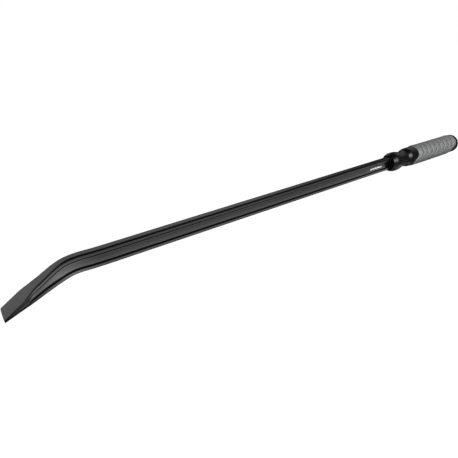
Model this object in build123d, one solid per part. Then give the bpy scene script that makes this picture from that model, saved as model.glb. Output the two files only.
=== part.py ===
from build123d import *
import math
import os

# Long pry bar with a two-material handle and a steel strike cap.
#
# Bar axes used while modelling: s runs along the straight shank towards the
# striking face, z is the height above the shank's centre line, y is sideways.
# The chisel edge bows 1 mm past s = 0. The finished parts are tipped by a
# degree so that the chisel edge and the back of the grip both rest on the
# floor, and are moved so that the origin is the middle of the footprint.

# ---------------------------------------------------------------- dimensions
edge_s = -1.0               # foremost point of the chisel edge
total_length = 914.0        # s of the striking face: a 36 inch bar, 915 overall

# forging: blade, heel and I-section shank
shank_height = 23.6         # depth of the I-section
shank_width = 11.8          # width of both flanges
shank_chamfer = 1.4         # broken outer edges of the flanges
flange_top = 5.0            # height of the upper flange at its outer edge
flange_low = 4.4            # height of the lower flange at its outer edge
web_thickness = 7.2
edge_crown = 0.4            # the corners of the chisel edge are set back by this
blade_low_slope = 0.331     # rise of the blade's lower face over its run
edge_low = -36.513          # height of the blade's lower face at s = 0
pocket_start = 28.0         # front end of the pocket in the web

# tang, hidden in the handle
shank_end = 690.0           # the I-section stops inside the collar
tang_width = 7.5
tang_height = 16.0
tang_end = 893.0
stem_diameter = 9.0         # round end that the strike cap is pressed on
stem_end = 905.0

# handle core: hard moulding over the tang
core_start = 681.0
core_radius = 18.3
neck_radius = 14.95
neck_at = 720.0
lip_height = 1.6            # the lip round the shank stands proud of the front face
lip_wall = 1.0
groove_width = 1.9          # round the lip
groove_depth = 2.4
sleeve_bore = 15.2          # radius of the core under the soft sleeve
core_end = 904.8
rim_radius = 18.4

# soft ribbed sleeve; its ends step back along the sides of the handle
sleeve_front_top = 757.5    # front edge over the upper half
sleeve_front_low = 745.0    # front edge over the lower half
sleeve_back_top = 897.5
sleeve_back_low = 884.0
step_half = 8.0             # the step is spread over this height each way
sleeve_crest = 19.7         # radius on a rib
sleeve_groove = 18.55       # radius in a groove
rib_pitch = 15.5

# strike cap: hardened steel, pressed on the stem
cap_radius = 13.0
cap_start = 896.0
cap_chamfer = 1.6

OUT = "parts"


def prism_xz(points, width):
    """Solid from a closed side outline, centred on y = 0."""
    with BuildPart() as p:
        with BuildSketch(Plane.XZ):
            with BuildLine():
                Polyline(*points, close=True)
            make_face()
        extrude(amount=width / 2, both=True)
    return p.part


def prism_xy(points, low, high):
    """Solid from a closed plan outline between two heights."""
    with BuildPart() as p:
        with BuildSketch(Plane.XY.offset(low)):
            with BuildLine():
                Polyline(*points, close=True)
            make_face()
        extrude(amount=high - low)
    return p.part


# ------------------------------------------------------ outline of the forging
half_h = shank_height / 2
half_w = shank_width / 2

# (s, height of the upper face): chisel blade, heel, straight shank
TOP = [(edge_s, -33.20), (2.0, -31.04), (12.0, -24.62), (22.0, -18.20), (30.0, -12.60), (34.0, -9.75), (38.0, -7.35),
       (42.0, -5.10), (46.0, -2.70), (50.0, -0.20), (54.0, 2.25), (58.0, 4.63), (62.0, 6.72), (66.0, 8.60), (70.0, 10.05),
       (74.0, 11.10), (78.0, 11.78), (84.0, 12.38), (91.0, 12.62), (98.0, 12.36), (106.0, 11.96), (114.0, 11.84), (122.0, half_h)]
# (s, height of the lower face): blade, hollow heel, straight shank
LOW = [(edge_s, edge_low + edge_s * blade_low_slope), (30.0, edge_low + 30.0 * blade_low_slope),
       (60.0, edge_low + 60.0 * blade_low_slope - 0.3), (66.0, edge_low + 66.0 * blade_low_slope - 0.4), (72.0, -13.15),
       (78.0, -11.62), (84.0, -10.75), (90.0, -10.65), (97.0, -11.02), (104.0, -11.42), (114.0, -11.68), (126.0, -half_h)]
# (s, half width) of the upper and of the lower face, seen from above: the
# blade's sides lean in below its shoulder
WIDE_TOP = [(edge_s, 12.80), (4.0, 12.72), (12.0, 12.55), (20.0, 12.50), (24.5, 12.40), (27.0, 12.00), (30.0, 10.85),
            (34.0, 9.55), (38.0, 8.85), (42.0, 8.35), (46.0, 7.98), (50.0, 7.65), (56.0, 7.25), (62.0, 6.66), (68.0, 6.16), (78.0, half_w)]
WIDE_LOW = [(edge_s, 12.40), (2.0, 12.15), (10.0, 11.50), (18.0, 10.95), (26.0, 10.45), (34.0, 9.80), (42.0, 8.75),
            (50.0, 7.75), (58.0, 6.98), (64.0, 6.42), (70.0, 6.02), (78.0, half_w)]
# (s, half width) of the floor of the pockets beside the web
FLOOR = [(pocket_start, 9.9), (31.0, 8.15), (34.0, 7.1), (38.0, 6.15), (44.0, 5.25), (52.0, 4.55), (62.0, 4.05),
         (74.0, 3.72), (86.0, web_thickness / 2), (shank_end + 6, web_thickness / 2)]


def along(table, s):
    """Value at s from a table of (s, value), held level past both ends."""
    if s <= table[0][0]:
        return table[0][1]
    for (a, va), (b, vb) in zip(table, table[1:]):
        if s <= b:
            return va + (vb - va) * (s - a) / (b - a)
    return table[-1][1]


def section(s):
    """Outline of the solid bar at s, with its four long edges broken."""
    zt, zb, wt, wl = along(TOP, s), along(LOW, s), along(WIDE_TOP, s), along(WIDE_LOW, s)
    c = 0.3 + (shank_chamfer - 0.3) * min(max((s - 25.0) / 33.0, 0.0), 1.0)
    right = [(wt - c, zt), (wt, zt - c), (wl, zb + c), (wl - c, zb)]
    ring = right + [(-y, z) for y, z in right[::-1]]
    return Face(Wire.make_polygon([Vector(s, y, z) for y, z in ring], close=True))


stations = [edge_s, 4, 12, 20, 24.5, 27, 30, 34, 38, 42, 46, 50, 54, 58, 62, 66, 70, 74, 78, 84, 91, 98, 106, 114, 126, shank_end]
body = loft([section(float(s)) for s in stations], ruled=True)

# the chisel edge is slightly crowned
half_edge = 16.0
crown = [(edge_s + edge_crown * (k / 4 * half_edge / WIDE_TOP[0][1]) ** 2, half_edge * k / 4) for k in range(-4, 5)]
body = body & prism_xy(crown + [(shank_end + 5, half_edge), (shank_end + 5, -half_edge)], -60, 40)


def flange(full, s):
    """Height of a flange's outer edge: thinner where the pocket starts."""
    return full - 1.3 * (1.0 - min(max((s - 28.0) / 30.0, 0.0), 1.0))


# pockets: a side outline that keeps a flange above and below, deepening
# from nothing at the blade to the full depth by the heel
pocket_s = [30.0, 34.0, 38.0, 42.0, 46.0, 50.0, 54.0, 58.0, 62.0, 66.0, 70.0, 74.0, 78.0, 84.0, 91.0, 98.0, 106.0, 114.0, 126.0, shank_end + 5]
pk_top = [(s, along(TOP, s) - flange(flange_top, s)) for s in pocket_s]
pk_low = [(s, along(LOW, s) + flange(flange_low, s)) for s in [33.0] + pocket_s[1:]]
pocket_side = prism_xz(pk_top + pk_low[::-1], 60.0)
near_pk = prism_xy(FLOOR + [(shank_end + 6, 40), (pocket_start, 40)], -60, 40)
far_pk = prism_xy([(a, -b) for a, b in FLOOR] + [(shank_end + 6, -40), (pocket_start, -40)], -60, 40)
body = body - (pocket_side & near_pk) - (pocket_side & far_pk)

# tang and round stem
tang = Pos((shank_end - 6 + tang_end) / 2, 0, 0) * Box(tang_end - shank_end + 6, tang_width, tang_height)
stem = Pos((tang_end - 2 + stem_end) / 2, 0, 0) * Rot(0, 90, 0) * Cylinder(stem_diameter / 2, stem_end - tang_end + 2)
forging = body + tang + stem

# ---------------------------------------------------------------- handle core
CORE = [(core_start, 0), (core_start, 13.9), (core_start + 0.8, 14.7), (683.6, 15.2), (686.4, 16.7), (689.0, 17.6),
        (694.0, core_radius), (700.0, 18.05), (706.0, 17.3), (710.0, 16.2), (713.5, 15.4), (717.0, neck_radius + 0.1),
        (neck_at, neck_radius), (725.5, neck_radius), (729.0, 15.15), (731.2, 15.6), (733.2, 16.5), (735.6, 17.5), (738.0, 18.05), (741.5, core_radius),
        (748.0, core_radius), (core_end - 1.5, rim_radius), (core_end, rim_radius - 1.2), (core_end, 0)]


def turned(points):
    """Solid of revolution about the bar's centre line from (s, radius) points."""
    with BuildPart() as p:
        with BuildSketch(Plane.XZ):
            with BuildLine():
                Polyline(*points, close=True)
            make_face()
        revolve(axis=Axis.X)
    return p.part


core_blank = turned(CORE)
# a raised lip frames the shank, with a groove round it
lip_w = shank_width + 2 * lip_wall
lip_h = shank_height + 2 * lip_wall
lip = Pos(core_start - lip_height + 5, 0, 0) * Box(10, lip_w, lip_h)
groove = (Pos(core_start, 0, 0) * Box(2 * groove_depth, lip_w + 2 * groove_width, lip_h + 2 * groove_width)
          & Pos(core_start, 0, 0) * Rot(0, 90, 0) * Cylinder(13.6, 2 * groove_depth))
core_blank = core_blank - groove + lip

# soft sleeve: ribbed outside, plain bore, slanted ends
rib = []
s0 = sleeve_front_top - rib_pitch
n_ribs = 11
for i in range(n_ribs):
    a = s0 + i * rib_pitch
    rib += [(a, sleeve_groove), (a + rib_pitch * 0.12, sleeve_crest - 0.25), (a + rib_pitch * 0.35, sleeve_crest),
            (a + rib_pitch * 0.65, sleeve_crest), (a + rib_pitch * 0.88, sleeve_crest - 0.25)]
s1 = s0 + n_ribs * rib_pitch
rib += [(s1, sleeve_groove), (s1, sleeve_bore), (s0, sleeve_bore)]
sleeve_blank = turned(rib)
r = 24.0
window = prism_xz([(sleeve_front_low, -r), (sleeve_back_low, -r), (sleeve_back_low, -step_half), (sleeve_back_top, step_half),
                   (sleeve_back_top, r), (sleeve_front_top, r), (sleeve_front_top, step_half), (sleeve_front_low, -step_half)], 80.0)
sleeve = sleeve_blank & window

# strike cap: a turned button, hollow for the stem
cap = turned([(cap_start, 0), (cap_start, cap_radius - 1.0), (cap_start + 1.0, cap_radius),
              (total_length - cap_chamfer, cap_radius), (total_length, cap_radius - cap_chamfer), (total_length, 0)])
cap = cap - forging
core = core_blank - sleeve - forging - cap

# ------------------------------------------------- place on the floor and save
edge_rest = LOW[0]
back_rest = (sleeve_front_top + 7.65 * rib_pitch, -sleeve_crest)
tip_angle = math.degrees(math.atan2(back_rest[1] - edge_rest[1], back_rest[0] - edge_rest[0]))
nodes = {"forged_bar": forging, "handle_core": core, "grip_sleeve": sleeve, "strike_cap": cap}
nodes = {k: Rot(0, tip_angle, 0) * v for k, v in nodes.items()}
boxes = [v.bounding_box() for v in nodes.values()]
x_mid = (min(b.min.X for b in boxes) + max(b.max.X for b in boxes)) / 2
z_low = min(b.min.Z for b in boxes)
nodes = {k: Pos(-x_mid, 0, -z_low) * v for k, v in nodes.items()}
print("tip angle", tip_angle, "x_mid", x_mid, "z_low", z_low)

os.makedirs(OUT, exist_ok=True)
for name, shape in nodes.items():
    solids = shape.solids()
    print(name, "solids", len(solids), "volume", round(shape.volume, 1), "valid", shape.is_valid)
    whole = solids[0] if len(solids) == 1 else Compound(solids)
    whole.label = name
    export_step(whole, os.path.join(OUT, name + ".step"))
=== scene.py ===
import math

import bpy
import numpy as np
from mathutils import Matrix, Vector


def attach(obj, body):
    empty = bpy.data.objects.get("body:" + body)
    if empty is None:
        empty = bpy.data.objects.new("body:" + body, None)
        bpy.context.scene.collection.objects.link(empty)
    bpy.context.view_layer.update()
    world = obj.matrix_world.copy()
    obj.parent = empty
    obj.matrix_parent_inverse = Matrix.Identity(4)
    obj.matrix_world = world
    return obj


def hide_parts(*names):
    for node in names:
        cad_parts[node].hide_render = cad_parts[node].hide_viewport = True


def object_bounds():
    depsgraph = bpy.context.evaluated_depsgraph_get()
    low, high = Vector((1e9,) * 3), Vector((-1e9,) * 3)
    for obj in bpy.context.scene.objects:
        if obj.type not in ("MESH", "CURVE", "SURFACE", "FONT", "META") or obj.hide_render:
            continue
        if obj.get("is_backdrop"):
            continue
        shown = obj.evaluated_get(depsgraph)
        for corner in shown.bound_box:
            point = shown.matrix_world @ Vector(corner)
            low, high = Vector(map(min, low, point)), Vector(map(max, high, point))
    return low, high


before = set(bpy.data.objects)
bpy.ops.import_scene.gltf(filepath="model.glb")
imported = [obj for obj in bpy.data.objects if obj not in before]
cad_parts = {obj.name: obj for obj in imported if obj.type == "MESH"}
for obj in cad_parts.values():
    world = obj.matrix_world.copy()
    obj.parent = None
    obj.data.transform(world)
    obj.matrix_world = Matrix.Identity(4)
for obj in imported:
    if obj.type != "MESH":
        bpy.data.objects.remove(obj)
cad_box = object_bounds()
scene = bpy.context.scene


def plain(v):
    """Nested lists of plain numbers."""
    if hasattr(v, "__len__"):
        return [plain(q) for q in v]
    return float(v)


# ------------------------------------------------------------------ bar axes
# s along the straight shank from the chisel edge (mm), y sideways, z up from
# the shank's centre line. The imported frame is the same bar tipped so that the
# chisel edge and the grip rest on the floor.
EDGE_S = -1.0        # the chisel edge, at the middle of its crown
CROWN = 0.4          # how far the edge's corners are set back
HALF_H = 11.80
HALF_W = 5.88
LOW_SLOPE = 0.331
EDGE_LOW = -36.513   # height of the lower face at s = 0
EDGE_TOP = 5.0       # side face of the upper flange
EDGE_LOWER = 4.9     # side face of the lower flange
DRAFT_TOP = 0.85     # slope of the upper flange's inner face
DRAFT_LOW = 0.35     # slope of the lower flange's inner face
WEB = 3.6
TILT = math.radians(1.1198059)

lo, hi = [list(v) for v in (cad_box[0], cad_box[1])]
CT, ST = math.cos(TILT), math.sin(TILT)
edge_z = EDGE_LOW + EDGE_S * LOW_SLOPE
OX = lo[0] * 1000 - (EDGE_S * CT + edge_z * ST)
OZ = lo[2] * 1000 - (-EDGE_S * ST + edge_z * CT)


def row(p):
    """Bar axes in mm to the frame's metres, for an (n, 3) array."""
    p = np.asarray(p, float)
    x = p[..., 0] * CT + p[..., 2] * ST + OX
    z = -p[..., 0] * ST + p[..., 2] * CT + OZ
    return np.stack([x, p[..., 1], z], -1) / 1000.0


def row_dir(v):
    return Vector((v[0] * CT + v[2] * ST, v[1], -v[0] * ST + v[2] * CT))


# ------------------------------------------------------------------ mesh help
def add_mesh(name, verts, faces, material, smooth=True, weighted=True):
    me = bpy.data.meshes.new(name)
    me.from_pydata([tuple(v) for v in verts], [], faces)
    me.validate(verbose=False)
    ob = bpy.data.objects.new(name, me)
    scene.collection.objects.link(ob)
    if smooth:
        me.shade_smooth()
    me.materials.append(material)
    if weighted:
        m = ob.modifiers.new("weighted_normals", "WEIGHTED_NORMAL")
        m.mode = "FACE_AREA_WITH_ANGLE"
        m.weight = 60
        m.keep_sharp = True
    return ob


def loft_faces(n_rings, n_pts, start=0, flip=False):
    """Quads between closed rings of n_pts points each."""
    out = []
    for i in range(n_rings - 1):
        for j in range(n_pts):
            k = (j + 1) % n_pts
            q = (start + i * n_pts + j, start + (i + 1) * n_pts + j, start + (i + 1) * n_pts + k, start + i * n_pts + k)
            out.append(q[::-1] if flip else q)
    return out


def cap_fold(start, n_pts, flip=False):
    """Quads that close a ring which mirrors itself across the line between
    point 0 and point n/2."""
    out = []
    half = n_pts // 2
    for j in range(half):
        a, b = start + j, start + (j + 1)
        c, d = start + (n_pts - j - 1) % n_pts, start + (n_pts - j) % n_pts
        ids = [a, b, c, d]
        seen = []
        for q in ids:
            if q not in seen:
                seen.append(q)
        if len(seen) >= 3:
            out.append(tuple(seen[::-1] if flip else seen))
    return out


def smoothstep(a, b, x):
    t = min(max((x - a) / (b - a), 0.0), 1.0)
    return t * t * (3 - 2 * t)


def pchip(xs, ys):
    """Monotone cubic through the points, as a function of one number."""
    xs, ys = np.asarray(xs, float), np.asarray(ys, float)
    h = np.diff(xs)
    d = np.diff(ys) / h
    m = np.zeros_like(xs)
    m[0], m[-1] = d[0], d[-1]
    for i in range(1, len(xs) - 1):
        if d[i - 1] * d[i] > 0:
            w1, w2 = 2 * h[i] + h[i - 1], h[i] + 2 * h[i - 1]
            m[i] = (w1 + w2) / (w1 / d[i - 1] + w2 / d[i])

    def f(x):
        x = min(max(x, xs[0]), xs[-1])
        i = min(max(int(np.searchsorted(xs, x) - 1), 0), len(h) - 1)
        t = (x - xs[i]) / h[i]
        return ((1 + 2 * t) * (1 - t) ** 2 * ys[i] + t * (1 - t) ** 2 * h[i] * m[i]
                + t * t * (3 - 2 * t) * ys[i + 1] + t * t * (t - 1) * h[i] * m[i + 1])

    return f


# ------------------------------------------------------------------ materials
def new_material(name):
    m = bpy.data.materials.new(name)
    m.use_nodes = True
    nt = m.node_tree
    nt.nodes.clear()
    out = nt.nodes.new("ShaderNodeOutputMaterial")
    bsdf = nt.nodes.new("ShaderNodeBsdfPrincipled")
    nt.links.new(bsdf.outputs[0], out.inputs[0])
    return m, nt, bsdf


def node(nt, kind, **inputs):
    n = nt.nodes.new(kind)
    for k, v in inputs.items():
        if k.startswith("in_"):
            key = k[3:]
            n.inputs[int(key) if key.isdigit() else key.replace("_", " ")].default_value = v
        else:
            setattr(n, k, v)
    return n


def ramp(nt, source, stops, interpolation="LINEAR"):
    r = nt.nodes.new("ShaderNodeValToRGB")
    r.color_ramp.interpolation = interpolation
    els = r.color_ramp.elements
    while len(els) > 1:
        els.remove(els[-1])
    els[0].position, els[0].color = stops[0][0], stops[0][1]
    for pos, col in stops[1:]:
        e = els.new(pos)
        e.color = col
    nt.links.new(source, r.inputs[0])
    return r


def grey(v, a=1.0):
    return (v, v, v, a)


def obj_coords(nt, scale=(1, 1, 1)):
    tc = nt.nodes.new("ShaderNodeTexCoord")
    mp = nt.nodes.new("ShaderNodeMapping")
    mp.inputs["Scale"].default_value = scale
    nt.links.new(tc.outputs["Object"], mp.inputs[0])
    return mp.outputs[0]


def noise(nt, vec, scale, detail=4.0, rough=0.55, distortion=0.0):
    n = nt.nodes.new("ShaderNodeTexNoise")
    n.inputs["Scale"].default_value = scale
    n.inputs["Detail"].default_value = detail
    n.inputs["Roughness"].default_value = rough
    n.inputs["Distortion"].default_value = distortion
    nt.links.new(vec, n.inputs["Vector"])
    return n


def bump_chain(nt, heights):
    """Bump nodes chained: heights is a list of (socket, strength, distance)."""
    prev = None
    for sock, strength, dist in heights:
        b = nt.nodes.new("ShaderNodeBump")
        b.inputs["Strength"].default_value = strength
        b.inputs["Distance"].default_value = dist
        nt.links.new(sock, b.inputs["Height"])
        if prev is not None:
            nt.links.new(prev.outputs[0], b.inputs["Normal"])
        prev = b
    return prev.outputs[0]


def steel_paint():
    """Satin black powder coat over a forged surface, a little thinner and
    lighter along the edges."""
    m, nt, b = new_material("black_forged_paint")
    vec = obj_coords(nt)
    fine = noise(nt, vec, 900.0, 3.0, 0.6)
    mid = noise(nt, vec, 160.0, 4.0, 0.55)
    wide = noise(nt, vec, 22.0, 3.0, 0.5)
    col = ramp(nt, wide.outputs[0], [(0.3, (0.0026, 0.0029, 0.0031, 1)), (0.7, (0.0038, 0.0041, 0.0041, 1))])
    # worn, slightly paler paint on convex edges
    geo = nt.nodes.new("ShaderNodeNewGeometry")
    edge = ramp(nt, geo.outputs["Pointiness"], [(0.50, grey(0)), (0.56, grey(1))])
    spots = ramp(nt, mid.outputs[0], [(0.52, grey(0)), (0.66, grey(0.55))])
    mul = node(nt, "ShaderNodeMath", operation="MULTIPLY")
    nt.links.new(edge.outputs[0], mul.inputs[0])
    nt.links.new(spots.outputs[0], mul.inputs[1])
    mix = nt.nodes.new("ShaderNodeMix")
    mix.data_type = "RGBA"
    nt.links.new(mul.outputs[0], mix.inputs[0])
    nt.links.new(col.outputs[0], mix.inputs[6])
    mix.inputs[7].default_value = (0.016, 0.0165, 0.0165, 1)
    # printed on the near side of the web: one plain white stripe
    tc = nt.nodes.new("ShaderNodeTexCoord")

    def along(direction, offset):
        d = node(nt, "ShaderNodeVectorMath", operation="DOT_PRODUCT")
        nt.links.new(tc.outputs["Object"], d.inputs[0])
        d.inputs[1].default_value = [1000.0 * q for q in direction]
        return math_node("SUBTRACT", d.outputs["Value"], offset)

    def math_node(op, p, q):
        n = node(nt, "ShaderNodeMath", operation=op)
        for i, w in enumerate((p, q)):
            if isinstance(w, (int, float)):
                n.inputs[i].default_value = w
            else:
                nt.links.new(w, n.inputs[i])
        return n.outputs[0]

    s_ = along((CT, 0.0, -ST), OX * CT - OZ * ST)
    z_ = along((ST, 0.0, CT), OX * ST + OZ * CT)
    y_ = along((0.0, 1.0, 0.0), 0.0)
    on = math_node("LESS_THAN", math_node("ABSOLUTE", math_node("SUBTRACT", s_, 640.0), 0.0), 17.0)
    for q in (math_node("LESS_THAN", math_node("ABSOLUTE", math_node("ADD", z_, 0.4), 0.0), 1.3), math_node("LESS_THAN", y_, 0.0)):
        on = math_node("MULTIPLY", on, q)
    print_mix = nt.nodes.new("ShaderNodeMix")
    print_mix.data_type = "RGBA"
    nt.links.new(on, print_mix.inputs[0])
    nt.links.new(mix.outputs[2], print_mix.inputs[6])
    print_mix.inputs[7].default_value = (0.80, 0.80, 0.79, 1)
    nt.links.new(print_mix.outputs[2], b.inputs["Base Color"])
    rr = ramp(nt, mid.outputs[0], [(0.25, grey(0.15)), (0.75, grey(0.20))])
    nt.links.new(rr.outputs[0], b.inputs["Roughness"])
    b.inputs["IOR"].default_value = 1.52
    nt.links.new(bump_chain(nt, [(wide.outputs[0], 0.06, 0.0012), (mid.outputs[0], 0.05, 0.0003), (fine.outputs[0], 0.10, 0.00006)]), b.inputs["Normal"])
    return m


def hard_plastic():
    """Black glass-filled nylon with a fine moulded texture."""
    m, nt, b = new_material("black_moulded_plastic")
    vec = obj_coords(nt)
    fine = noise(nt, vec, 1400.0, 2.0, 0.6)
    wide = noise(nt, vec, 45.0, 3.0, 0.5)
    col = ramp(nt, wide.outputs[0], [(0.3, (0.0030, 0.0030, 0.0034, 1)), (0.7, (0.0042, 0.0042, 0.0047, 1))])
    nt.links.new(col.outputs[0], b.inputs["Base Color"])
    rr = ramp(nt, wide.outputs[0], [(0.25, grey(0.29)), (0.75, grey(0.33))])
    nt.links.new(rr.outputs[0], b.inputs["Roughness"])
    b.inputs["IOR"].default_value = 1.5
    b.inputs["Specular IOR Level"].default_value = 0.22
    nt.links.new(bump_chain(nt, [(fine.outputs[0], 0.07, 0.00004), (wide.outputs[0], 0.02, 0.0003)]), b.inputs["Normal"])
    return m


def soft_rubber():
    """Grey soft-touch rubber with a spark-eroded mould grain, and painted shade in its grooves."""
    m, nt, b = new_material("grey_soft_rubber")
    vec = obj_coords(nt)
    fine = noise(nt, vec, 1100.0, 3.0, 0.65)
    wide = noise(nt, vec, 60.0, 4.0, 0.55)
    col = ramp(nt, wide.outputs[0], [(0.28, (0.118, 0.124, 0.120, 1)), (0.72, (0.138, 0.144, 0.140, 1))])
    # painted shade: the base colour is darkened to 0.45 in the concave grooves, where shade falls
    geo = nt.nodes.new("ShaderNodeNewGeometry")
    painted_groove_shade = ramp(nt, geo.outputs["Pointiness"], [(0.40, grey(0.45)), (0.49, grey(1.0))])
    mul = nt.nodes.new("ShaderNodeMix")
    mul.data_type = "RGBA"
    mul.blend_type = "MULTIPLY"
    mul.inputs[0].default_value = 1.0
    nt.links.new(col.outputs[0], mul.inputs[6])
    nt.links.new(painted_groove_shade.outputs[0], mul.inputs[7])
    nt.links.new(mul.outputs[2], b.inputs["Base Color"])
    rr = ramp(nt, fine.outputs[0], [(0.3, grey(0.54)), (0.7, grey(0.64))])
    nt.links.new(rr.outputs[0], b.inputs["Roughness"])
    b.inputs["IOR"].default_value = 1.55
    b.inputs["Specular IOR Level"].default_value = 1.0
    b.inputs["Sheen Weight"].default_value = 0.03
    b.inputs["Sheen Roughness"].default_value = 0.5
    nt.links.new(bump_chain(nt, [(fine.outputs[0], 0.10, 0.00006), (wide.outputs[0], 0.03, 0.0003)]), b.inputs["Normal"])
    return m


def cap_steel():
    """Black-oxide steel with a fine, even noise grain."""
    m, nt, b = new_material("blackened_steel")
    tc = nt.nodes.new("ShaderNodeTexCoord")
    rough = noise(nt, tc.outputs["Object"], 420.0, 4.0, 0.6)
    wide = noise(nt, tc.outputs["Object"], 70.0, 3.0, 0.5)
    col = ramp(nt, wide.outputs[0], [(0.3, (0.105, 0.104, 0.102, 1)), (0.7, (0.150, 0.148, 0.144, 1))])
    nt.links.new(col.outputs[0], b.inputs["Base Color"])
    b.inputs["Metallic"].default_value = 0.85
    rr = ramp(nt, rough.outputs[0], [(0.25, grey(0.30)), (0.75, grey(0.46))])
    nt.links.new(rr.outputs[0], b.inputs["Roughness"])
    nt.links.new(bump_chain(nt, [(rough.outputs[0], 0.10, 0.0001)]), b.inputs["Normal"])
    return m


M_STEEL = steel_paint()
M_PLASTIC = hard_plastic()
M_RUBBER = soft_rubber()
M_CAP = cap_steel()


# ------------------------------------------------------------------- forging
# Half width of the upper face, half width of the lower face, upper face and
# lower face heights, and how far the pocket floor stands from the middle.
W_TOP = pchip([-1.4, 4.0, 12.0, 20.0, 24.5, 27.0, 30.0, 34.0, 38.0, 42.0, 46.0, 50.0, 56.0, 62.0, 68.0, 76.0, 90.0],
              [12.80, 12.74, 12.55, 12.50, 12.40, 12.00, 10.85, 9.55, 8.85, 8.35, 7.98, 7.65, 7.25, 6.66, 6.16, 5.92, HALF_W])
W_LOW = pchip([-1.4, 2.0, 10.0, 18.0, 26.0, 34.0, 42.0, 50.0, 58.0, 64.0, 70.0, 78.0, 90.0],
              [12.40, 12.15, 11.50, 10.95, 10.45, 9.80, 8.75, 7.75, 6.98, 6.42, 6.02, 5.89, HALF_W])
Z_TOP = pchip([-1.4, 2.0, 12.0, 22.0, 30.0, 34.0, 38.0, 42.0, 46.0, 50.0, 54.0, 58.0, 62.0, 66.0, 70.0, 74.0, 78.0, 84.0, 91.0, 98.0, 106.0, 114.0, 122.0],
              [-33.20, -31.04, -24.62, -18.20, -12.60, -9.75, -7.35, -5.10, -2.75, -0.25, 2.20, 4.55, 6.68, 8.56, 10.01, 11.07, 11.75, 12.34, 12.56, 12.32, 11.96, 11.82, HALF_H])
Z_LOW = pchip([60.0, 66.0, 72.0, 78.0, 84.0, 90.0, 97.0, 104.0, 114.0, 126.0],
              [EDGE_LOW + 60 * LOW_SLOPE - 0.30, EDGE_LOW + 66 * LOW_SLOPE - 0.40, -13.15, -11.62, -10.75, -10.65, -11.02, -11.42, -11.68, -HALF_H])
FLOOR = pchip([26.0, 28.5, 31.0, 34.0, 38.0, 44.0, 52.0, 62.0, 74.0, 86.0],
              [11.0, 9.45, 8.15, 7.10, 6.15, 5.25, 4.55, 4.05, 3.72, WEB])


def half(s):
    return (W_TOP(s), W_LOW(s)) if s < 90.0 else (HALF_W, HALF_W)


def upper(s):
    return Z_TOP(s) if s < 122.0 else HALF_H


def lower(s):
    if s <= 60.0:
        return EDGE_LOW + s * LOW_SLOPE - 0.30 * smoothstep(30.0, 60.0, s)
    return Z_LOW(s) if s < 126.0 else -HALF_H


def corner(prev, p, nxt, r, n):
    """Rounded corner at p: n + 1 points of a circular arc that touches both
    sides at r from the corner, never past the middle of either side."""
    a, b = np.subtract(prev, p), np.subtract(nxt, p)
    la, lb = np.linalg.norm(a), np.linalg.norm(b)
    q = min(r, 0.46 * la, 0.46 * lb)
    A = np.asarray(p) + a / max(la, 1e-9) * q
    B = np.asarray(p) + b / max(lb, 1e-9) * q
    cosang = float(np.dot(a, b) / max(la * lb, 1e-9))
    w = math.sqrt(max(0.0, (1 - cosang) / 2))
    out = []
    for i in range(n + 1):
        t = i / n
        d = (1 - t) ** 2 + 2 * w * t * (1 - t) + t * t
        out.append(((1 - t) ** 2 * A + 2 * w * t * (1 - t) * np.asarray(p) + t * t * B) / d)
    return out


def section(s, inset=0.0):
    """Closed ring of (y, z) points of the bar's section at s."""
    wt, wl = half(s)
    zt, zb = upper(s) - inset, lower(s) + inset
    wt, wl = wt - inset, wl - inset
    tall = zt - zb
    k = smoothstep(27.0, 60.0, s)
    e_top = min(EDGE_TOP - 1.0 * (1 - k), 0.30 * tall)
    e_low = min(EDGE_LOWER - 1.2 * (1 - k), 0.30 * tall)
    side = lambda z: wl + (wt - wl) * (z - zb) / tall
    f = FLOOR(s) if s < 86.0 else WEB
    yc, yf = side(zt - e_top), side(zb + e_low)
    fd = min(f, side(zt - e_top - 0.1 * tall))
    fe = min(f, side(zb + e_low + 0.1 * tall))
    # behind the blade the web flares out towards the lower flange
    fe += 0.25 * (yf - fe) * (1 - smoothstep(30.0, 72.0, s))
    zd = zt - e_top - min(max(DRAFT_TOP * (yc - fd), 0.1 * tall * (1 - k)), 0.2 * tall)
    ze = zb + e_low + min(max(DRAFT_LOW * (yf - fe), 0.06 * tall * (1 - k)), 0.2 * tall)
    r_out = 0.50 + 1.5 * smoothstep(21.0, 28.0, s) + 0.7 * smoothstep(30.0, 70.0, s)
    r_low = 0.50 + 1.0 * smoothstep(25.0, 60.0, s) + 0.7 * smoothstep(66.0, 110.0, s)
    r_in = 0.25 + 0.25 * k
    r_top = 0.4 + 1.1 * k
    r_fil = 0.4 + 0.5 * k
    A, H = (0.0, zt), (0.0, zb)
    B, C, D = (wt, zt), (yc, zt - e_top), (fd, zd)
    E, F, G = (fe, ze), (yf, zb + e_low), (wl, zb)
    if tall < 6.0:
        r_out = min(r_out, 0.28 * tall)
        r_low = min(r_low, 0.28 * tall)
    pts = []

    def line(p, q, n):
        for i in range(n):
            t = i / n
            pts.append(np.asarray(p) * (1 - t) + np.asarray(q) * t)

    cb = corner(A, B, C, r_out, 10)
    cc = corner(B, C, D, r_in, 5)
    cd = corner(C, D, E, r_top, 6)
    ce = corner(D, E, F, r_fil, 6)
    cf = corner(E, F, G, r_in, 5)
    cg = corner(F, G, H, r_low, 10)
    line(A, cb[0], 5); pts.extend(cb[:-1])
    line(cb[-1], cc[0], 2); pts.extend(cc[:-1])
    line(cc[-1], cd[0], 3); pts.extend(cd[:-1])
    line(cd[-1], ce[0], 8); pts.extend(ce[:-1])
    line(ce[-1], cf[0], 3); pts.extend(cf[:-1])
    line(cf[-1], cg[0], 2); pts.extend(cg[:-1])
    line(cg[-1], H, 5)
    pts.append(np.asarray(H))
    right = pts
    left = [np.array((-p[0], p[1])) for p in right[-2:0:-1]]
    return right + left


def rect_radius(a, w, h, p=9.0):
    """Radius at angle a of a rounded rectangle of half sizes w and h."""
    c, s_ = abs(math.cos(a)), abs(math.sin(a))
    return ((c / w) ** p + (s_ / h) ** p) ** (-1.0 / p)


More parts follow.
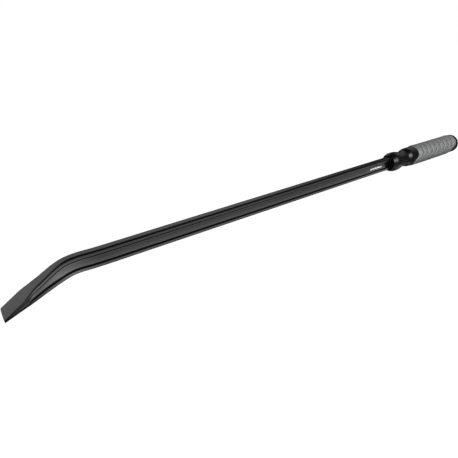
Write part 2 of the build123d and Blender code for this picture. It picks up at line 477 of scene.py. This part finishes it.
def ring_of(points, s):
    return [(s, p[0], p[1]) for p in points]


def make_forging():
    rings = []

    def blade_ring(s, inset=0.0):
        out = []
        w0 = half(max(s, EDGE_S))[0]
        back = CROWN * (1 - smoothstep(EDGE_S, 24.0, s))
        for p in section(s, inset):
            q = abs(p[0]) / w0
            out.append((s + back * (q ** 2.2), p[0], p[1]))
        return out

    rings.append(blade_ring(EDGE_S, 0.45))
    rings.append(blade_ring(EDGE_S + 0.07, 0.22))
    rings.append(blade_ring(EDGE_S + 0.22, 0.06))
    rings.append(blade_ring(EDGE_S + 0.5, 0.0))
    s_list = list(np.arange(EDGE_S + 1.4, 24.0, 1.3)) + list(np.arange(24.0, 126.0, 0.8)) + list(np.arange(126.0, 690.0, 7.5)) + [690.0]
    for s in s_list:
        rings.append(blade_ring(float(s)))

    # shoulder, tang and stem, hidden in the handle
    def block(w, h):
        out = []
        for p in section(300.0):
            a = math.atan2(p[1] / h, p[0] / w)
            r = rect_radius(math.atan2(p[1], p[0]), w, h, 14)
            out.append(np.array((r * math.cos(math.atan2(p[1], p[0])), r * math.sin(math.atan2(p[1], p[0])))))
        return out

    tang = block(3.75, 8.0)
    rings.append(ring_of(tang, 690.4))
    rings.append(ring_of(tang, 893.0))
    rad = []
    n = len(tang)
    for j, p in enumerate(tang):
        a = math.atan2(p[1], p[0])
        rad.append(np.array((4.5 * math.cos(a), 4.5 * math.sin(a))))
    rings.append(ring_of(rad, 893.3))
    rings.append(ring_of(rad, 904.6))
    rings.append(ring_of([q * 0.9 for q in rad], 905.0))
    npt = len(rings[0])
    verts = np.concatenate([np.array(r_) for r_ in rings])
    faces = loft_faces(len(rings), npt)
    faces += cap_fold(0, npt)
    faces += cap_fold((len(rings) - 1) * npt, npt, flip=True)
    return verts, faces


def fix_normals(ob):
    import bmesh
    bm = bmesh.new()
    bm.from_mesh(ob.data)
    bmesh.ops.recalc_face_normals(bm, faces=bm.faces[:])
    bm.to_mesh(ob.data)
    bm.free()


v, f = make_forging()
forging = add_mesh("forged_bar_mesh", row(v), f, M_STEEL)
fix_normals(forging)
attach(forging, "root")
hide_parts("forged_bar")


# --------------------------------------------------------------- handle core
N_PHI = 160


CORE = pchip([681.9, 683.6, 686.2, 688.6, 691.0, 694.0, 700.0, 706.0, 710.0, 713.5, 717.0, 720.0, 724.0, 727.5, 729.8, 731.9, 734.3, 736.7, 740.5, 748.0, 905.0],
             [14.7, 15.3, 16.7, 17.55, 17.95, 18.2, 18.05, 17.3, 16.2, 15.4, 15.05, 14.95, 14.95, 15.15, 15.65, 16.5, 17.5, 18.05, 18.3, 18.25, 18.25])


def step(a, top, low):
    """Where the sleeve's edge lies round the handle: back over the upper half,
    forward over the lower half, with a smooth step along each side."""
    up = math.degrees(math.asin(max(-1.0, min(1.0, math.sin(a)))))
    t = math.tanh((up + 1.0) / 13.0)
    return low + (top - low) * 0.5 * (1 + t)


def rise(s):
    """The bulb and the front of the grip stand a little above the axis."""
    return 0.5 * smoothstep(724.0, 737.0, s) * (1 - smoothstep(762.0, 790.0, s))


def make_core():
    rings = []
    angs = [2 * math.pi * (k + 0.5) / N_PHI for k in range(N_PHI)]

    def ring(sf, rf):
        rings.append([(sf(a), rf(a) * math.cos(a), rf(a) * math.sin(a) + (rise(sf(a)) if rf(a) > 14.9 else 0.0)) for a in angs])

    const = lambda q: (lambda a: q)
    rect = lambda w, h, p=9.0: (lambda a: rect_radius(a, w, h, p))
    # bore wall, lip, groove and front face
    ring(const(700.0), rect(5.92, 11.84, 26))
    ring(const(680.0), rect(5.92, 11.84, 26))
    ring(const(679.6), rect(5.96, 11.88, 24))
    ring(const(679.42), rect(6.06, 11.98, 20))
    ring(const(679.40), rect(6.20, 12.10, 17))
    ring(const(679.52), rect(6.42, 12.30, 15))
    ring(const(679.85), rect(6.58, 12.46, 12))
    ring(const(680.6), rect(6.66, 12.54, 11))
    ring(const(682.6), rect(6.72, 12.60, 11))
    ring(const(683.4), rect(6.80, 12.60, 10))
    ring(const(683.65), rect(7.3, 12.85, 8))
    ring(const(683.5), rect(7.9, 13.1, 7))
    ring(const(682.6), rect(8.25, 13.3, 6.5))
    ring(const(681.9), rect(8.35, 13.4, 6.2))
    ring(const(681.35), rect(8.65, 13.55, 5.8))

    def mix_rect(t):
        return lambda a: rect_radius(a, 8.9 + (14.0 - 8.9) * t, 13.7 + (14.05 - 13.7) * t, 5.4 - 3.2 * t)

    ring(const(681.20), mix_rect(0.0))
    ring(const(681.20), mix_rect(0.35))
    ring(const(681.22), mix_rect(0.7))
    ring(const(681.28), mix_rect(0.95))
    ring(const(681.40), const(14.35))
    ring(const(681.62), const(14.60))
    for s in [681.95, 682.6, 683.4, 684.2, 685.0, 685.8, 686.5, 687.1, 687.6, 688.1, 688.7, 689.4, 690.2, 691.2, 692.6, 694.4, 696.5, 699,
              701.5, 704, 706, 708, 709.5, 711, 712.5, 714, 715.5, 717, 718.5, 720, 721.5, 723, 724.5, 726, 727.5, 729, 730.2, 731.4,
              732.6, 734, 735.5, 737.2, 739, 741, 743]:
        ring(const(s), const(CORE(s)))
    # up to the sleeve's stepped edge, then down under the sleeve
    front = lambda a: step(a, 757.6, 745.1)
    for t in (0.0, 0.25, 0.5, 0.75, 0.93):
        ring(lambda a, t=t: 744.0 + (front(a) - 0.35 - 744.0) * t, const(18.2))
    ring(lambda a: front(a) - 0.20, const(18.17))
    ring(lambda a: front(a) - 0.05, const(18.02))
    ring(lambda a: front(a) + 0.02, const(17.8))
    ring(lambda a: front(a) + 0.05, const(15.4))
    ring(lambda a: front(a) + 0.6, const(15.2))
    back = lambda a: step(a, 897.2, 881.8)
    ring(lambda a: back(a) - 0.6, const(15.2))
    ring(lambda a: back(a) - 0.05, const(15.4))
    ring(lambda a: back(a) - 0.02, const(17.8))
    ring(lambda a: back(a) + 0.08, const(18.10))
    ring(lambda a: back(a) + 0.28, const(18.25))
    for t in (0.15, 0.5, 0.85):
        ring(lambda a, t=t: back(a) + (903.2 - back(a)) * t, const(18.5))
    for k in range(9):
        q = math.radians(90 * k / 8)
        ring(const(904.1 + 1.1 * math.sin(q)), const(17.5 + 1.1 * math.cos(q)))
    ring(const(905.2), const(15.8))
    ring(const(905.2), const(13.9))
    ring(const(905.0), const(13.5))
    ring(const(903.0), const(13.3))
    ring(const(896.0), const(13.3))
    ring(const(896.0), const(6.0))
    # back through the stem's hole and the tang's slot to the bore
    ring(const(893.2), const(5.2))
    ring(const(893.2), rect(3.85, 8.1, 16))
    ring(const(700.2), rect(3.85, 8.1, 16))
    n = len(rings)
    verts = np.concatenate([np.array(r_) for r_ in rings])
    faces = loft_faces(n, N_PHI)
    # the last ring joins the first one: a closed skin with a through hole
    for j in range(N_PHI):
        k = (j + 1) % N_PHI
        faces.append(((n - 1) * N_PHI + j, j, k, (n - 1) * N_PHI + k))
    return verts, faces


v, f = make_core()
core = add_mesh("handle_core_mesh", row(v), f, M_PLASTIC)
fix_normals(core)
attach(core, "root")
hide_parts("handle_core")


# -------------------------------------------------------------- ribbed sleeve
PITCH = 15.5
FRONT_TOP = 757.5
DROP = 13.4


def make_sleeve():
    angs = [2 * math.pi * (k + 0.5) / N_PHI for k in range(N_PHI)]
    rings = []
    n_rib = 9
    q_list = [0.0, 0.012, 0.024, 0.036, 0.048, 0.062, 0.085, 0.12, 0.17, 0.23, 0.3, 0.4, 0.5, 0.6, 0.7, 0.77, 0.83, 0.88,
              0.915, 0.938, 0.952, 0.964, 0.976, 0.988]
    groove_r, crest_r = 18.5, 19.68

    def rib(q):
        body = groove_r + (crest_r - groove_r) * (1 - abs(2 * q - 1) ** 2.2) ** 0.9
        edge = min(q, 1 - q)
        return body - 1.7 * max(0.0, 1 - edge / 0.056) ** 0.8

    def add(fs, fr):
        rings.append([(fs(a), fr(a) * math.cos(a), fr(a) * math.sin(a) + rise(fs(a))) for a in angs])

    front = lambda a: step(a, 757.6, 745.1)
    back = lambda a: step(a, 897.2, 881.8)
    along = lambda a, u: front(a) + (back(a) - front(a)) * u
    add(lambda a: front(a) + 0.06, lambda a: 15.25)
    add(lambda a: front(a) + 0.06, lambda a: 17.7)
    add(lambda a: front(a) + 0.10, lambda a: 18.05)
    add(lambda a: front(a) + 0.30, lambda a: 18.25)
    total = float(n_rib)
    for i in range(n_rib):
        for q in q_list:
            u = (i + q) / total
            if i == 0 and q < 0.055:
                continue
            if i == n_rib - 1 and q > 0.945:
                continue
            r0 = rib(q)
            if i == 0:
                r0 = min(r0, 18.3 + (crest_r - 18.3) * smoothstep(0.0, 0.62, q) ** 0.8)
            if i == n_rib - 1:
                r0 = min(r0, 18.95 + (crest_r - 18.95) * smoothstep(1.0, 0.6, q) if q > 0.6 else r0)
            add(lambda a, u=u: along(a, u), lambda a, r0=r0: r0)
    add(lambda a: back(a) - 0.35, lambda a: 18.85)
    add(lambda a: back(a) - 0.12, lambda a: 18.65)
    add(lambda a: back(a) - 0.04, lambda a: 18.15)
    add(lambda a: back(a) - 0.04, lambda a: 15.25)
    n = len(rings)
    verts = np.concatenate([np.array(r_) for r_ in rings])
    faces = loft_faces(n, N_PHI)
    for j in range(N_PHI):
        k = (j + 1) % N_PHI
        faces.append(((n - 1) * N_PHI + j, j, k, (n - 1) * N_PHI + k))
    return verts, faces


v, f = make_sleeve()
sleeve = add_mesh("grip_sleeve_mesh", row(v), f, M_RUBBER)
fix_normals(sleeve)
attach(sleeve, "root")
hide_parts("grip_sleeve")


# ----------------------------------------------------------------- strike cap
def make_cap():
    n = 96
    angs = [2 * math.pi * (k + 0.5) / n for k in range(n)]
    prof = [(904.9, 0.6), (904.9, 4.3), (904.7, 4.62), (896.4, 4.62), (896.0, 5.0), (896.0, 11.8), (896.25, 12.6), (896.9, 12.98),
            (898.0, 13.0), (905.0, 13.0), (910.6, 13.0), (911.4, 12.93), (912.2, 12.62), (912.9, 12.10), (913.5, 11.45), (913.85, 10.9),
            (913.98, 10.3), (914.0, 9.4), (914.0, 6.0), (914.0, 0.6)]
    verts = []
    for s, r in prof:
        for a in angs:
            verts.append((s, r * math.cos(a), r * math.sin(a)))
    faces = loft_faces(len(prof), n)
    faces.append(tuple(range(n)))
    faces.append(tuple((len(prof) - 1) * n + j for j in range(n))[::-1])
    return np.array(verts), faces


v, f = make_cap()
cap = add_mesh("strike_cap_mesh", row(v), f, M_CAP)
fix_normals(cap)
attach(cap, "root")
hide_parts("strike_cap")


# ---------------------------------------------------------------------- stage
def make_floor():
    me = bpy.data.meshes.new("studio_floor")
    h = 60.0
    me.from_pydata([(-h, -h, 0), (h, -h, 0), (h, h, 0), (-h, h, 0)], [], [(0, 1, 2, 3)])
    ob = bpy.data.objects.new("studio_floor", me)
    scene.collection.objects.link(ob)
    m, nt, b = new_material("pale_floor")
    b.inputs["Base Color"].default_value = (0.10, 0.10, 0.10, 1)
    b.inputs["Roughness"].default_value = 1.0
    b.inputs["Specular IOR Level"].default_value = 0.0
    b.inputs["Emission Color"].default_value = (1.0, 1.0, 1.0, 1)
    # an even white sweep: the glow makes up for what the lamps lose with
    # distance, and is held back where it would light the object from below
    tc = nt.nodes.new("ShaderNodeTexCoord")
    ln = node(nt, "ShaderNodeVectorMath", operation="LENGTH")
    nt.links.new(tc.outputs["Object"], ln.inputs[0])
    mr = nt.nodes.new("ShaderNodeMapRange")
    mr.interpolation_type = "SMOOTHSTEP"
    nt.links.new(ln.outputs["Value"], mr.inputs[0])
    for i, q in enumerate((0.5, 3.0, FLOOR_GLOW, 1.0)):
        mr.inputs[i + 1].default_value = q
    # painted pool of light in front of the heel: extra floor glow, seen only in reflections
    off = node(nt, "ShaderNodeVectorMath", operation="SUBTRACT")
    nt.links.new(tc.outputs["Object"], off.inputs[0])
    off.inputs[1].default_value = (-0.379, -0.053, 0.0)
    sc_ = node(nt, "ShaderNodeVectorMath", operation="MULTIPLY")
    nt.links.new(off.outputs[0], sc_.inputs[0])
    sc_.inputs[1].default_value = (1 / 0.034, 1 / 0.03, 0.0)
    l2 = node(nt, "ShaderNodeVectorMath", operation="LENGTH")
    nt.links.new(sc_.outputs[0], l2.inputs[0])
    painted_pool_glow = nt.nodes.new("ShaderNodeMapRange")
    painted_pool_glow.interpolation_type = "SMOOTHERSTEP"
    nt.links.new(l2.outputs["Value"], painted_pool_glow.inputs[0])
    for i, q in enumerate((0.0, 1.6, PAINTED_POOL_GLOW, 0.0)):
        painted_pool_glow.inputs[i + 1].default_value = q
    # painted reflections: what polished faces see of the floor, a glow painted dark right under the bar
    # and beside the handle and blade as painted shadow, and in brighter bands in front of it
    xyz = nt.nodes.new("ShaderNodeSeparateXYZ")
    nt.links.new(tc.outputs["Object"], xyz.inputs[0])
    band = node(nt, "ShaderNodeMath", operation="MULTIPLY_ADD")
    nt.links.new(xyz.outputs[0], band.inputs[0])
    band.inputs[1].default_value = -0.03
    nt.links.new(xyz.outputs[1], band.inputs[2])
    unit = nt.nodes.new("ShaderNodeMapRange")
    nt.links.new(band.outputs[0], unit.inputs[0])
    for i, q in enumerate((-0.10, 0.0, 0.0, 1.0)):
        unit.inputs[i + 1].default_value = q
    painted_reflection_bands = ramp(nt, unit.outputs[0], [(0.0, grey(0.45)), (0.26, grey(0.45)), (0.30, grey(0.66)), (0.35, grey(0.66)), (0.39, grey(0.38)), (0.560, grey(0.34)), (0.59, grey(1.2)),
                                       (0.65, grey(1.2)), (0.71, grey(0.36)), (0.77, grey(0.10)), (1.0, grey(0.06))])

    def span(a, b_, lo_, hi_):
        r = nt.nodes.new("ShaderNodeMapRange")
        r.interpolation_type = "SMOOTHSTEP"
        nt.links.new(xyz.outputs[0], r.inputs[0])
        for i, q in enumerate((a, b_, lo_, hi_)):
            r.inputs[i + 1].default_value = q
        return r.outputs[0]

    def mul_(a, b_):
        r = node(nt, "ShaderNodeMath", operation="MULTIPLY")
        for i, q in enumerate((a, b_)):
            if isinstance(q, float):
                r.inputs[i].default_value = q
            else:
                nt.links.new(q, r.inputs[i])
        return r.outputs[0]

    gloss = mul_(mul_(painted_reflection_bands.outputs[0], 2.1), mul_(span(-0.435, -0.405, 0.95, 1.0), span(0.278, 0.300, 1.0, HANDLE_GLOSS)))
    gloss = mul_(gloss, span(-0.25, 0.10, 1.0, 0.66))
    # painted reflection: the blade lies close to the floor, and a glow painted on the floor beside it shows in its
    # reflection
    near = nt.nodes.new("ShaderNodeMapRange")
    near.interpolation_type = "SMOOTHSTEP"
    nt.links.new(xyz.outputs[1], near.inputs[0])
    for i, q in enumerate((-0.036, -0.014, 0.90, 0.12)):
        near.inputs[i + 1].default_value = q
    top_ = node(nt, "ShaderNodeMath", operation="MAXIMUM")
    nt.links.new(gloss, top_.inputs[0])
    nt.links.new(mul_(near.outputs[0], span(-0.395, -0.365, 1.0, 0.0)), top_.inputs[1])
    gloss = top_.outputs[0]
    gl = node(nt, "ShaderNodeMath", operation="ADD")
    nt.links.new(gloss, gl.inputs[0])
    nt.links.new(painted_pool_glow.outputs[0], gl.inputs[1])
    lp = nt.nodes.new("ShaderNodeLightPath")
    pick = nt.nodes.new("ShaderNodeMix")
    pick.data_type = "FLOAT"
    nt.links.new(lp.outputs["Is Glossy Ray"], pick.inputs[0])
    nt.links.new(mr.outputs[0], pick.inputs[2])
    nt.links.new(gl.outputs[0], pick.inputs[3])
    hold = node(nt, "ShaderNodeMath", operation="MULTIPLY_ADD")
    nt.links.new(lp.outputs["Is Diffuse Ray"], hold.inputs[0])
    hold.inputs[1].default_value = -1.0
    hold.inputs[2].default_value = 1.0
    mul = node(nt, "ShaderNodeMath", operation="MULTIPLY")
    nt.links.new(pick.outputs[0], mul.inputs[0])
    nt.links.new(hold.outputs[0], mul.inputs[1])
    nt.links.new(mul.outputs[0], b.inputs["Emission Strength"])
    me.materials.append(m)
    ob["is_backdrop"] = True
    return ob


FLOOR_GLOW = 1.0
# strength of the painted pool of light on the floor
PAINTED_POOL_GLOW = 1.6
# painted reflection: how much of the floor's painted glow the handle sees
HANDLE_GLOSS = 0.06
floor = make_floor()


def area(name, target, direction, distance, size, power, size_y=None, color=(1, 1, 1)):
    """Soft box aimed at a point from a direction, both in the frame."""
    d = Vector(direction).normalized()
    L = bpy.data.lights.new(name, "AREA")
    L.shape = "RECTANGLE"
    L.size = size
    L.size_y = size_y or size
    L.energy = power
    L.color = color
    ob = bpy.data.objects.new(name, L)
    ob.location = Vector(target) + d * distance
    ob.rotation_euler = d.to_track_quat("Z", "Y").to_euler()
    scene.collection.objects.link(ob)
    ob.visible_camera = False
    return ob


KEY = 62.0
# large soft key to the camera's right, above it
key = area("key", (0.30, 0.0, 0.02), (0.19, -0.83, 0.53), 2.2, 1.1, KEY, 1.1)
# weak soft box overhead on the blade's side of the object
area("overhead", (0.0, 0.0, 0.0), (-0.72, -0.05, 0.69), 2.6, 1.6, 9.0, 1.9)
# small reflector past the handle, seen only in the handle's front end
area("end_card", row([(700.0, 0.0, 10.0)])[0], row([(1000.0, 55.0, 158.0)])[0] - row([(700.0, 0.0, 10.0)])[0],
     0.339, 0.23, 0.055, 0.155)
# the key lights the handle and the floor; the painted steel keeps its dark
# reflections, as behind a studio flag
receivers = bpy.data.collections.new("key_receivers")
for ob in (core, sleeve, cap, floor):
    receivers.objects.link(ob)
key.light_linking.receiver_collection = receivers
# the same lamp without its reflection, for the printed stripe on the steel
matt = area("key_matt", (0.30, 0.0, 0.02), (0.19, -0.83, 0.53), 2.2, 1.1, KEY, 1.1)
matt.visible_glossy = False
steel_only = bpy.data.collections.new("key_matt_receivers")
steel_only.objects.link(forging)
matt.light_linking.receiver_collection = steel_only

# the room: a bright low wall on the far side, dim overhead and in front
world = bpy.data.worlds.new("studio")
scene.world = world
world.use_nodes = True
wt = world.node_tree
bg = wt.nodes["Background"]
wtc = wt.nodes.new("ShaderNodeTexCoord")
sep = wt.nodes.new("ShaderNodeSeparateXYZ")
wt.links.new(wtc.outputs["Generated"], sep.inputs[0])


def wmath(op, a, b=None, c=None, clamp=False):
    n = wt.nodes.new("ShaderNodeMath")
    n.operation = op
    n.use_clamp = clamp
    for i, v in enumerate((a, b, c)):
        if v is None:
            continue
        if isinstance(v, (int, float)):
            n.inputs[i].default_value = v
        else:
            wt.links.new(v, n.inputs[i])
    return n.outputs[0]


def wrange(v, a, b, c, d):
    n = wt.nodes.new("ShaderNodeMapRange")
    n.interpolation_type = "SMOOTHSTEP"
    wt.links.new(v, n.inputs[0])
    for i, q in enumerate((a, b, c, d)):
        n.inputs[i + 1].default_value = q
    return n.outputs[0]


# azimuth in radians from +Y towards +X
azim = wmath("ARCTAN2", sep.outputs[0], sep.outputs[1])
wall = wmath("MULTIPLY", wrange(azim, 0.57, 1.06, 0.70, 0.02), wrange(azim, -1.35, -0.95, 0.0, 1.0))
wall = wmath("ADD", wall, wmath("MULTIPLY", wrange(azim, -0.5, 0.55, 0.16, 0.0), wrange(azim, -1.35, -0.95, 0.0, 1.0)))
wall = wmath("MULTIPLY", wall, wrange(sep.outputs[2], 0.56, 0.70, 1.0, 0.0))
studio = wmath("ADD", wall, 0.02)
# the camera sees a white sweep beyond the floor's edge
wlp = wt.nodes.new("ShaderNodeLightPath")
studio = wmath("MULTIPLY", studio, wmath("MULTIPLY_ADD", wlp.outputs["Is Diffuse Ray"], -0.5, 1.0))
strength = wmath("MAXIMUM", studio, wlp.outputs["Is Camera Ray"])
wt.links.new(strength, bg.inputs[1])
bg.inputs[0].default_value = (1.0, 1.0, 1.0, 1)

# --------------------------------------------------------------------- camera
cam_data = bpy.data.cameras.new("camera")
cam_data.sensor_fit = "HORIZONTAL"
cam_data.sensor_width = 36.0
cam_data.lens = 36.0 * 400.0 / 458.0
cam_data.clip_start = 0.01
cam = bpy.data.objects.new("camera", cam_data)
scene.collection.objects.link(cam)
CAM_AT = (4.09, -419.96, 260.69)
fwd = Vector((0.510209, 0.711780, -0.482759))
right = Vector((0.812763, -0.582594, 0.0))
cam.location = Vector(row([CAM_AT])[0])
f_row = row_dir(fwd).normalized()
r_row = row_dir(right).normalized()
u_row = r_row.cross(f_row).normalized()
r_row = f_row.cross(u_row).normalized()
cam.matrix_world = Matrix.Translation(cam.location) @ Matrix((r_row, u_row, -f_row)).transposed().to_4x4()
scene.camera = cam
scene.view_settings.view_transform = "Standard"
scene.view_settings.look = "None"
scene.view_settings.exposure = 0.0
scene.view_settings.gamma = 1.0

new_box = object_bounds()
{"cad": plain(cad_box), "visual": plain(new_box)}
